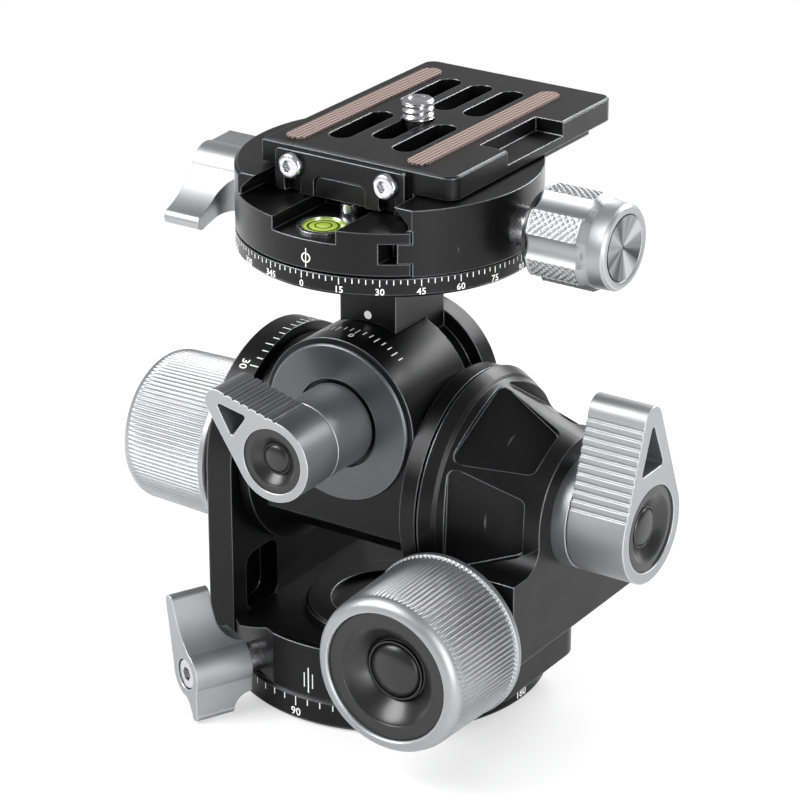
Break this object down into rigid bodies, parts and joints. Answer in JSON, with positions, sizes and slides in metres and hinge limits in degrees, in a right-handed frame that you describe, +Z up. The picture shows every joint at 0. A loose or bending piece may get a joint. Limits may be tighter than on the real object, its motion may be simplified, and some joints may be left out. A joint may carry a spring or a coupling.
{
  "type": "geared tripod head",
  "caption": "Compact geared tripod head: panning base, two worm-driven tilt axes with release levers, and a panning clamp holding a quick-release plate.",
  "frame": {"origin": "middle of the tripod socket's mouth, on the base's underside", "axes": "+Z up along the pan axis; -Y is the side of the front knob and front lever; +X is the side of the gear housing and the clamp knob"},
  "size_m": [0.1162, 0.0907, 0.1178],
  "materials": {
    "black_aluminium": "satin black anodised",
    "satin_aluminium": "bead-blasted silver anodised",
    "gloss_black": "glossy black",
    "bright_steel": "bright turned steel",
    "bronze": "machined bronze",
    "brown_rubber": "fine-textured brown rubber",
    "level_glass": "yellow-green bubble level"
  },
  "bodies": {
    "base": {"base": "black_aluminium", "thread_insert": "bright_steel", "pan_retaining_ring": "black_aluminium"},
    "frame": {"frame_plate": "black_aluminium", "left_arm": "black_aluminium", "trunnion_bush": "bronze", "gear_housing": "black_aluminium", "side_collar": "satin_aluminium"},
    "base_lock": {"base_lock_wing": "satin_aluminium", "base_lock_stem": "bright_steel", "base_lock_screw": "bright_steel"},
    "front_knob": {"front_knob": "satin_aluminium", "front_knob_insert": "gloss_black", "front_worm_shaft": "bright_steel"},
    "side_lever": {"side_lever": "satin_aluminium", "side_lever_insert": "gloss_black", "side_lever_shaft": "bright_steel"},
    "middle": {"middle_body": "black_aluminium", "front_ring": "black_aluminium", "front_collar": "satin_aluminium", "tilt_worm_wheel": "bronze"},
    "left_knob": {"left_knob": "satin_aluminium", "left_knob_insert": "gloss_black", "left_worm_shaft": "bright_steel"},
    "front_lever": {"front_lever": "satin_aluminium", "front_lever_insert": "gloss_black", "front_lever_shaft": "bright_steel"},
    "yoke": {"top_yoke": "black_aluminium", "roll_worm_wheel": "bronze"},
    "clamp": {"clamp_body": "black_aluminium", "guide_pin_front": "bright_steel", "guide_pin_rear": "bright_steel", "level_ring": "bright_steel", "level_vial": "level_glass", "stop_pin": "bright_steel"},
    "top_lock": {"top_lock_wing": "satin_aluminium", "top_lock_stem": "bright_steel", "top_lock_screw": "bright_steel"},
    "jaw": {"moving_jaw": "black_aluminium"},
    "clamp_knob": {"clamp_knob": "satin_aluminium", "clamp_screw": "bright_steel", "clamp_washer": "gloss_black", "clamp_knob_disc": "bright_steel"},
    "plate": {"plate": "black_aluminium", "plate_pads": "brown_rubber", "flap_screws": "bright_steel"},
    "flap": {"front_flap": "black_aluminium"},
    "camera_screw": {"camera_screw": "bright_steel"}
  },
  "joints": [
    {"name": "base_pan", "type": "hinge", "parent": "base", "child": "frame", "pos_m": [0, 0, 0], "axis": [0, 0, 1], "continuous": true},
    {"name": "base_lock_turn", "type": "hinge", "parent": "frame", "child": "base_lock", "pos_m": [0, 0, 0.009], "axis": [-0.4321, -0.9018, 0], "range_deg": [0, 60]},
    {"name": "tilt", "type": "hinge", "parent": "frame", "child": "middle", "pos_m": [0, 0, 0.045], "axis": [-1, 0, 0], "range_deg": [-30, 90]},
    {"name": "front_knob_turn", "type": "hinge", "parent": "frame", "child": "front_knob", "pos_m": [0.03, 0, 0.025], "axis": [0, -1, 0], "range_deg": [-3960, 1320]},
    {"name": "tilt_release", "type": "hinge", "parent": "frame", "child": "side_lever", "pos_m": [0.0475, 0, 0.045], "axis": [1, 0, 0], "range_deg": [0, 40], "stiffness_Nm_per_rad": 0.05, "springref_deg": -5.73},
    {"name": "roll", "type": "hinge", "parent": "middle", "child": "yoke", "pos_m": [0, 0, 0.0595], "axis": [0, 1, 0], "range_deg": [-18, 18]},
    {"name": "left_knob_turn", "type": "hinge", "parent": "middle", "child": "left_knob", "pos_m": [0, 0, 0.0395], "axis": [-1, 0, 0], "range_deg": [-792, 792]},
    {"name": "roll_release", "type": "hinge", "parent": "middle", "child": "front_lever", "pos_m": [0, -0.03, 0.0595], "axis": [0, -1, 0], "range_deg": [0, 40], "stiffness_Nm_per_rad": 0.05, "springref_deg": -5.73},
    {"name": "top_pan", "type": "hinge", "parent": "yoke", "child": "clamp", "pos_m": [0, 0, 0.0953], "axis": [0, 0, 1], "continuous": true},
    {"name": "top_lock_turn", "type": "hinge", "parent": "clamp", "child": "top_lock", "pos_m": [-0.03, 0, 0.0987], "axis": [-1, 0, 0], "range_deg": [0, 60]},
    {"name": "jaw_slide", "type": "slide", "parent": "clamp", "child": "jaw", "axis": [1, 0, 0], "range_m": [0, 0.004]},
    {"name": "clamp_knob_turn", "type": "hinge", "parent": "jaw", "child": "clamp_knob", "pos_m": [0.036, 0, 0.1008], "axis": [1, 0, 0], "range_deg": [0, 1440]},
    {"name": "plate_slide", "type": "slide", "parent": "clamp", "child": "plate", "axis": [0, 1, 0], "range_m": [0, 0.008]},
    {"name": "flap_slide", "type": "slide", "parent": "plate", "child": "flap", "axis": [0, 0, 1], "range_m": [0, 0.004]},
    {"name": "camera_screw_turn", "type": "hinge", "parent": "plate", "child": "camera_screw", "pos_m": [0, 0.01, 0.1135], "axis": [0, 0, 1], "continuous": true}
  ],
  "couplings": [
    {"joint": "front_knob_turn", "follows": "tilt", "ratio": -44},
    {"joint": "left_knob_turn", "follows": "roll", "ratio": -44},
    {"joint": "clamp_knob_turn", "follows": "jaw_slide", "rad_per_m": 6283.2}
  ]
}
